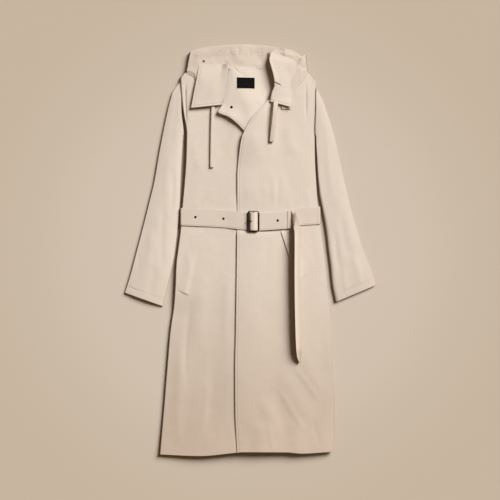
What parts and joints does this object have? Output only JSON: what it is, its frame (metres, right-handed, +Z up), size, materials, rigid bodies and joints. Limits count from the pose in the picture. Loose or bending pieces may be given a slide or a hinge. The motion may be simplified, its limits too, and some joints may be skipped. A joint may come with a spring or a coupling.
{
  "type": "duster coat",
  "caption": "Long hooded duster coat laid flat, front up: open collar, flat drawcords, fastened belt with a hanging end.",
  "frame": {"origin": "bottom centre of the whole coat's box, on the surface it lies on", "axes": "+Y from hem to hood, +X to the right seen from above, +Z up out of the coat's front"},
  "size_m": [0.803, 1.3118, 0.0385],
  "materials": {
    "coat_cloth": "smooth matt cotton twill, pale beige",
    "belt_cloth": "self fabric, topstitched",
    "drawcord_tape": "flat woven tape",
    "label_weave": "dense black woven label, bare",
    "buckle_metal": "dark bronze",
    "eyelet_metal": "dark bronze"
  },
  "bodies": {
    "root": {"back_panel": "coat_cloth", "front_left": "coat_cloth", "front_right": "coat_cloth", "sleeve_left": "coat_cloth", "sleeve_left_under": "coat_cloth", "sleeve_right": "coat_cloth", "sleeve_right_under": "coat_cloth", "facing_left": "coat_cloth", "facing_neck": "coat_cloth", "collar_left": "coat_cloth", "collar_right": "coat_cloth", "collar_stand": "coat_cloth", "hood_back": "coat_cloth", "hood_rim": "coat_cloth", "hood_side_left": "coat_cloth", "hood_side_right": "coat_cloth", "pocket_welt_left": "coat_cloth", "pocket_welt_right": "coat_cloth", "belt_back_run": "belt_cloth", "belt_front_run": "belt_cloth", "belt_buckle_run": "belt_cloth", "belt_tail": "belt_cloth", "belt_keeper": "belt_cloth", "drawcord_left": "drawcord_tape", "drawcord_right": "drawcord_tape", "neck_label": "label_weave", "buckle_frame": "buckle_metal", "buckle_bar": "buckle_metal", "buckle_prong": "buckle_metal", "belt_eyelet_1": "eyelet_metal", "belt_eyelet_2": "eyelet_metal", "belt_eyelet_3": "eyelet_metal", "hood_eyelet": "eyelet_metal", "throat_snap": "eyelet_metal"}
  },
  "joints": []
}
